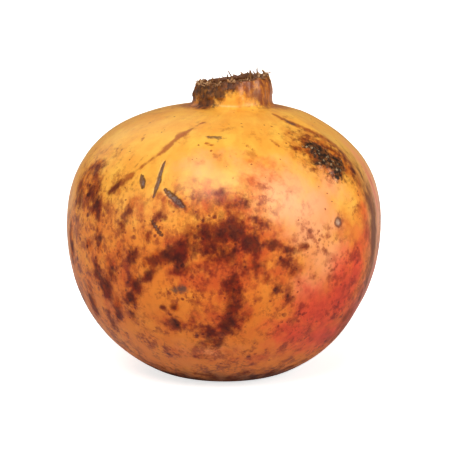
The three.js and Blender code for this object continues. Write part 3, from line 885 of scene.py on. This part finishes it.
# %% Scar, scab and tube colours
wound_edge = ragged(field("scar", 1.4), 0.9, 0.9, 0.2, 3)
colour = lay(colour, wound_edge, (84, 40, 24), 0.88)
cork = ragged(field("scar", 0.64), 0.7, 0.9, 0.14, 6)
colour = lay(colour, cork, (142, 118, 108), 0.7)
grey = ragged("grey_spot", 1.2, 1.6, 0.3, 6)
colour = lay(colour, grey, (84, 62, 50), 0.8)
wart_rim = ragged(field("wart", 1.4), 0.6, 0.6, 0.2)
colour = lay(colour, wart_rim, (110, 58, 34), 0.85)
wart_top = ragged(field("wart", 0.66), 0.6, 0.3, 0.15)
colour = lay(colour, wart_top, (200, 160, 130))
black = ragged("scab", 1.3, 2.2, 0.26, 12)
colour = lay(colour, black, (92, 54, 26), 0.93)
black_deep = share(black, ragged(0.56, 1, 3.2, 0.25, 22))
colour = lay(colour, black_deep, (30, 18, 12), 0.95)
crumbs = share(black, dots(1.2, 0.5, 0.6, 5))
crumbs = share(crumbs, ragged(0.5, 0.7, 3.2, 0.25, 5))
colour = lay(colour, crumbs, (180, 152, 116), 0.8)

tube_fibre = place_group(rind_tree, fibres, {"Size": 0.8, "Seed": 3})["Value"]
browned_tube = ragged("browned", 1.8, 1.4, 0.35, 21)
colour = lay(colour, browned_tube, (200, 108, 34), 0.75)
browned_streaks = share(browned_tube, tube_fibre)
colour = lay(colour, browned_streaks, (128, 58, 20), 0.85)
dark_sap = ragged(field("bruise", 0.84), 1.6, 2.6, 0.4, 2)
colour = lay(colour, dark_sap, (120, 60, 42), 0.76)
char = ragged("crust", 1.5, 1.4, 0.3, 1)
colour = lay(colour, char, (122, 64, 20), 0.9)
char_deep = ragged(field("crust", less=0.14), 1.3, 2.8, 0.28, 14)
char_deep = share(char_deep, ramp(rind_tree, tube_fibre, 0.9, 0.1, 0.5, 1))
colour = lay(colour, char_deep, (36, 22, 20), 0.88)
colour = lay(colour, field("cup"), (104, 60, 30))
print("rind layers:", sum(n.bl_idname == "ShaderNodeMix" for n in rind_tree.nodes))

# %% [markdown]
# ## Sheen and fine grain
# Healthy skin has a soft waxy gleam; stains, cork and crust are matt. The finest relief is a bump: leathery
# grain less than a millimetre across, pores, and the roughness of every damaged patch.

# %% Rind gloss and bump
rough_marks = wash
for mask in (char, black, wound_edge, shade, painted_underside_shade):
    rough_marks = maths(rind_tree, "MAXIMUM", rough_marks, mask)
patchy = ramp(rind_tree, ragged("warm", 6, 1, 0.5, 30), 0, 1, 0.36, 0.44)
clean = maths(rind_tree, "SUBTRACT", 1, maths(rind_tree, "MAXIMUM", rough_marks, share(patch, 0.8)))

GRAIN_SIZE, BUMP_HEIGHT = 0.8, 0.12 * MM
fine_noise = {"Vector": scaled_place(rind_tree, GRAIN_SIZE, (0, 0, 0)), "Scale": 1, "Detail": 4}
grain = add(rind_tree, "TexNoise", {**fine_noise, "Roughness": 0.55}).outputs[0]
height = maths(rind_tree, "ADD", share(grain, 0.35), share(pores, -0.5))
for mask, amount in ((specks, 0.8), (char, 2)):
    height = maths(rind_tree, "ADD", height, share(share(mask, grain), amount))
bump = add(rind_tree, "Bump", {"Strength": 0.6, "Distance": BUMP_HEIGHT, "Height": height})
fill(rind_tree, rind_shader, {
    "Base Color": colour,
    "Roughness": maths(rind_tree, "ADD", patchy, share(rough_marks, 0.1)),
    "Normal": bump.outputs[0],
    "IOR": 1.45,
    "Specular IOR Level": 0.32,
    "Coat Weight": ramp(rind_tree, clean, 0, 1, 0, 0.42),
    "Coat Roughness": 0.3,
    "Coat IOR": 1.4,
})
print("rind material nodes:", len(rind_tree.nodes))

# %% [markdown]
# ## Thin dry things
# Stamens, shreds and broken bits are all tubes along a line, round or flattened. One function sweeps them.
# The ring of points is carried along the line without twisting, and both ends close to a point.

# %% Sweep along a line
RANDOM = np.random.default_rng(7)


def sweep(line, radii, sides=8, flat=1.0, side=(0.3, 0.9, 0.1)):
    """Points and faces of a closed tube along a line; flat squeezes it, side is where it points."""
    line, radii = np.asarray(line, float), np.asarray(radii, float)
    forward = np.gradient(line, axis=0)
    forward /= np.linalg.norm(forward, axis=1, keepdims=True)
    turns = 2 * np.pi * np.arange(sides) / sides
    rings = [np.repeat(line[:1], sides, 0)]
    across = np.asarray(side, float)
    for place, ahead, radius in zip(line, forward, radii):
        across = across - ahead * across.dot(ahead)
        across /= np.linalg.norm(across)
        over_it = np.cross(ahead, across)
        ring = np.outer(np.cos(turns), across) + flat * np.outer(np.sin(turns), over_it)
        rings.append(place + radius * ring)
    rings.append(np.repeat(line[-1:], sides, 0))
    return closed_grid(np.array(rings))


def joined(parts):
    """One mesh from several."""
    points, faces, count = [], [], 0
    for some_points, some_faces in parts:
        points.append(some_points)
        faces += [tuple(count + i for i in face) for face in some_faces]
        count += len(some_points)
    return np.vstack(points), faces


def wander(steps, size):
    """A smooth sideways wandering that starts from nothing, in mm."""
    t = np.linspace(0, 1, steps)[:, None]
    waves = [RANDOM.normal(0, size / k, 3) * np.sin(k * 2.2 * t + RANDOM.uniform(0, 6)) for k in (1, 2, 3)]
    return smooth(0, 0.5, t) * sum(waves)


# %% [markdown]
# ## Dried stamens
# Forty-six stamens stand in three rows on the inner wall of the tube. Each starts where the CAD's does.
# Most have curled down as they dried and kept a shrivelled anther; the few that still stick out have lost
# theirs, so they end in a broken tip. A hair system would be quicker, but every stamen is a part of its own
# here.

# %% Grow the stamens
GAP, FILAMENT, FILAMENT_TAPER, TALL, BOW = 0.3, 0.3, 0.55, 1.55, 2.5
ANTHER_RADIUS, ANTHER_AT, ANTHER_LENGTH = 0.5, 0.88, 0.13  # the last two as shares of the filament
STAMEN_ROWS = [  # how many, depth below the rim, reach inwards, rise, turn of the row in degrees
    (18, 2.6, 2.3, 3.4, 5), (16, 4.4, 3.9, 2.9, 0), (12, 6.4, 4.6, 2.5, 9),
]
STICKING_OUT = {  # number of the stamen: lean to the right in mm, rise as a share, thickness as a share
    1: (-2.2, 1.1, 1.6), 2: (1.6, 1.2, 1.4), 3: (0.4, 1.34, 1.9), 4: (1.2, 1.04, 1.5), 7: (0.2, 0.86, 1.8),
    10: (-0.6, 0.7, 1.4), 13: (0.4, 0.7, 1.3), 16: (-0.8, 0.8, 1.5), 17: (-0.6, 1.2, 1.3),
    18: (1.4, 1.2, 1.4),
}
STEPS = 22


def stamen(number, count, down, reach, rise, turn, index):
    """One dried stamen, in mm."""
    azimuth = turn + 360 * index / count
    tall = TALL if index % 3 == 0 else 1
    usual = (RANDOM.normal(0, 0.7), RANDOM.uniform(0.35, 0.62), 1)
    lean, share_of_rise, thick = STICKING_OUT.get(number, usual)
    course = [  # distance from the wall, height as a share of the rise, bow to the side
        (GAP + FILAMENT, 0, 0),
        (GAP + 0.35 * reach, 0.25, 0.5),
        (GAP + 0.75 * reach, 0.62, 1),
        (GAP + reach, 1, 1.2),
    ]
    places = []
    for r, up, bent in course:
        a = math.radians(azimuth + BOW * bent)
        z = RIM_HEIGHT - down + up * rise * tall * share_of_rise
        x, y = (INSIDE - r) * math.sin(a), -(INSIDE - r) * math.cos(a)
        places.append(settle(x + lean * up**2, y, z) + shift)
    line = bezier(*places, steps=STEPS - 1) + wander(STEPS, 0.16)
    t = np.linspace(0, 1, STEPS)
    radii = thick * FILAMENT * (1 - FILAMENT_TAPER * t) * (1 + 0.12 * RANDOM.normal(size=STEPS))
    if number in STICKING_OUT:
        radii[-3:] *= (0.95, 0.75, 0.4)
        return sweep(line, radii, 8, 0.75)
    round_anther = np.sqrt(np.clip(1 - ((t - ANTHER_AT) / ANTHER_LENGTH) ** 2, 0, 1))
    anther = ANTHER_RADIUS * round_anther * RANDOM.uniform(0.75, 1.1)
    crumpled = anther * (1 + 0.25 * np.sin(40 * t + RANDOM.uniform(0, 6)))
    radii = np.maximum(radii, crumpled)
    radii[-1] = 0.08
    return sweep(line, radii, 8, 0.62, RANDOM.normal(size=3))


filament_material, filament_tree, filament_shader = new_material("dried_filament")
number = 0
for count, down, reach, rise, turn in STAMEN_ROWS:
    for index in range(count):
        number += 1
        grown = stamen(number, count, down, reach, rise, turn, index)
        piece = mesh_object(f"filament_{number:02d}", *grown, filament_material)
        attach(piece, "root")
        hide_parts(f"stamen_{number:02d}")
print("stamens:", number)

# %% [markdown]
# ## Broken bits in the cup
# Filaments that snapped off lie across each other between the stamens and fill the tube nearly to its rim.
# Each is a short crooked tube. They share one mesh, since nobody will ever take out a single one.

# %% Litter of broken filaments
BROKEN, BIT_LENGTHS, BIT_RADII, BIT_LEVELS = 130, (1.8, 4.6), (0.12, 0.3), (3, 7.7)
axis = settle(0.0, 0.0, RIM_HEIGHT) + shift
bits = []
for _ in range(BROKEN):
    azimuth, heading = RANDOM.uniform(0, 2 * np.pi, 2)
    r = (INSIDE - 1.0) * math.sqrt(RANDOM.uniform(0.02, 1))
    length = RANDOM.uniform(*BIT_LENGTHS)
    low = CUP_FLOOR + RANDOM.uniform(*BIT_LEVELS) - 0.1 * length
    middle = settle(r * math.sin(azimuth), -r * math.cos(azimuth), low) + shift
    tilt = RANDOM.uniform(-0.15, 0.35)
    way = np.array([math.cos(heading) * math.cos(tilt), math.sin(heading) * math.cos(tilt), math.sin(tilt)])
    t = np.linspace(-0.5, 0.5, 9)
    line = middle + length * t[:, None] * way
    line += RANDOM.normal(0, 0.35, 3) * np.cos(3 * t)[:, None] + RANDOM.normal(0, 0.05, (9, 3))
    out = np.hypot(line[:, 0] - axis[0], line[:, 1] - axis[1])
    squeeze = np.minimum(1, (INSIDE - 0.45) / np.maximum(out, 1e-6))
    line[:, :2] = axis[:2] + (line[:, :2] - axis[:2]) * squeeze[:, None]
    bits.append(sweep(line, RANDOM.uniform(*BIT_RADII) * (1 - 1.2 * np.abs(t)), 6, 0.8))
broken = mesh_object("broken_filaments", *joined(bits), filament_material)
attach(broken, "root")
print("broken bits:", len(bits), " faces:", len(broken.data.polygons))

# %% [markdown]
# ## The torn rim
# Where the flower's lobes broke off, the rim ends in papery shreds and crumbs. Each shred is a flattened
# tube that curls up, in or out. They are thicker on the ground at the front left, where the crust has
# flaked.

# %% Shreds on the rim
SHREDS, SHRED_LENGTHS, SHRED_WIDTHS, FRONT_LEFT = 170, (0.5, 1.5), (0.28, 0.75), (-100, 10)
flakes = []
for i in range(SHREDS):
    azimuth = RANDOM.uniform(-180, 180) if i % 3 else RANDOM.uniform(*FRONT_LEFT)
    root = grow(azimuth, INSIDE + RANDOM.uniform(0.1, WALL - 0.1), RIM_HEIGHT - 0.25) + shift
    a = math.radians(azimuth)
    outward, around = np.array([math.sin(a), -math.cos(a), 0.1]), np.array([math.cos(a), math.sin(a), 0])
    way = outward * RANDOM.normal(0, 0.5) + around * RANDOM.normal(0, 0.8)
    way += np.array([0, 0, RANDOM.uniform(0.05, 0.6)])
    way /= np.linalg.norm(way)
    length, width = RANDOM.uniform(*SHRED_LENGTHS), RANDOM.uniform(*SHRED_WIDTHS)
    curl = np.cross(way, RANDOM.normal(size=3))
    t = np.linspace(-0.15, 1, 9)[:, None]
    line = root + length * (way * t + 0.45 * curl * t**2) + RANDOM.normal(0, 0.03, (9, 3))
    radii = width * (1 - 0.6 * np.abs(t[:, 0])) * RANDOM.uniform(0.6, 1.2, 9)
    flakes.append(sweep(line, radii, 8, RANDOM.uniform(0.18, 0.4), np.cross(way, (0, 0, 1)) + 0.01))
shred_material, shred_tree, shred_shader = new_material("torn_rim")
shreds = mesh_object("rim_shreds", *joined(flakes), shred_material)
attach(shreds, "root")
print("shreds:", len(flakes), " faces:", len(shreds.data.polygons))

# %% [markdown]
# ## Style and stem
# The style is a shrivelled column in the middle of the cup with the stigma's knob on top. The stem was
# clipped just below the fruit; its short stub sits in the dimple, with furrowed bark around it. Both are
# round grids, like the skin, with furrows worked in.

# %% Style and stub


def turned(profile, spacing, columns, furrows, depth, seed):
    """A round grid from an outline of (radius, height), with lengthwise furrows, in mm."""
    line = np.vstack([[profile[0]], evenly(np.array(profile, float), spacing)])
    turn = 2 * np.pi * np.arange(columns) / columns
    wavy = np.sin(furrows * turn + 1.4 * np.sin(2 * turn + seed))
    wavy = wavy + 0.6 * np.sin((furrows * 2 + 1) * turn + seed)
    r = line[:, :1] * (1 - depth * smooth(0, 0.4, line[:, :1]) * (1 + wavy))
    return np.stack([r * np.sin(turn), -r * np.cos(turn), line[:, 1:] + 0 * turn], -1)


STYLE_OUTLINE = [  # radius, height above the floor of the cup
    (0, 0), (1.3, 0), (1.1, 0.4), (0.8, 1.2), (0.55, 4.4), (0.9, 5), (0.95, 5.4), (0.7, 5.8), (0, 5.9),
]
floor_level = CUP_FLOOR + CUP_FLOOR_DOME + GAP
style_outline = [(r, floor_level + high) for r, high in STYLE_OUTLINE]
style_grid = turned(style_outline, spacing=0.16, columns=36, furrows=5, depth=0.09, seed=1)
style_grid = settle(*np.moveaxis(style_grid, -1, 0)) + shift
style_material, style_tree, style_shader = new_material("dried_style")
style = mesh_object("dried_style", *closed_grid(style_grid), style_material)
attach(style, "root")
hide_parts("style")

STEM_RADIUS, STEM_CUT_LEVEL = 2.4, 0.6
top = DIMPLE_DEPTH - GAP
stem_outline = [
    (0, STEM_CUT_LEVEL + 0.12), (0.5, STEM_CUT_LEVEL + 0.12), (STEM_RADIUS - 0.3, STEM_CUT_LEVEL),
    (STEM_RADIUS, STEM_CUT_LEVEL + 0.3), (STEM_RADIUS + 0.1, top - 0.5), (STEM_RADIUS + 0.5, top), (0, top),
]
stem_grid = turned(stem_outline, spacing=0.12, columns=72, furrows=11, depth=0.04, seed=3)
stem_grid += np.array([shift[0], shift[1], 0])
stem_material, stem_tree, stem_shader = new_material("stem_wood")
stem = mesh_object("clipped_stem", *closed_grid(stem_grid), stem_material)
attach(stem, "root")
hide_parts("stem_stub")
print("style rows:", len(style_grid), " stem rows:", len(stem_grid))

# %% [markdown]
# ## Dry matter
# All of it is dead plant fibre, matt and streaked lengthwise. One function makes the three materials: a
# dark and a pale colour mixed by the fibres and broken up by patches. The rim's shreds are lighter, like
# old paper.

# %% Materials of the dry pieces


def dry(tree, shader, dark, pale, size, patch, seed):
    """Fills a material with streaked dry fibre; size is the fibres', patch the patches', in mm."""
    streaks = place_group(tree, fibres, {"Size": size, "Seed": seed})["Value"]
    patches = ragged(0.5, patch, 2.6, 0.3, seed, tree)
    mixed = maths(tree, "MULTIPLY", maths(tree, "ADD", streaks, patches), 0.5)
    lift = add(tree, "Bump", {"Strength": 0.7, "Distance": 0.06 * MM, "Height": streaks})
    fill(tree, shader, {
        "Base Color": over(tree, mixed, paint(*dark), paint(*pale)),
        "Roughness": ramp(tree, streaks, 0, 1, 0.7, 0.95),
        "Specular IOR Level": 0.25,
        "Normal": lift.outputs[0],
    })


dry(filament_tree, filament_shader, (70, 38, 18), (158, 108, 62), 0.25, 1.2, 2)
dry(style_tree, style_shader, (96, 58, 30), (170, 124, 76), 0.4, 1.6, 5)
dry(shred_tree, shred_shader, (110, 62, 32), (214, 172, 126), 0.4, 0.9, 9)
dry(stem_tree, stem_shader, (74, 54, 38), (140, 112, 82), 0.4, 1.4, 4)
print("materials:", [m.name for m in bpy.data.materials])
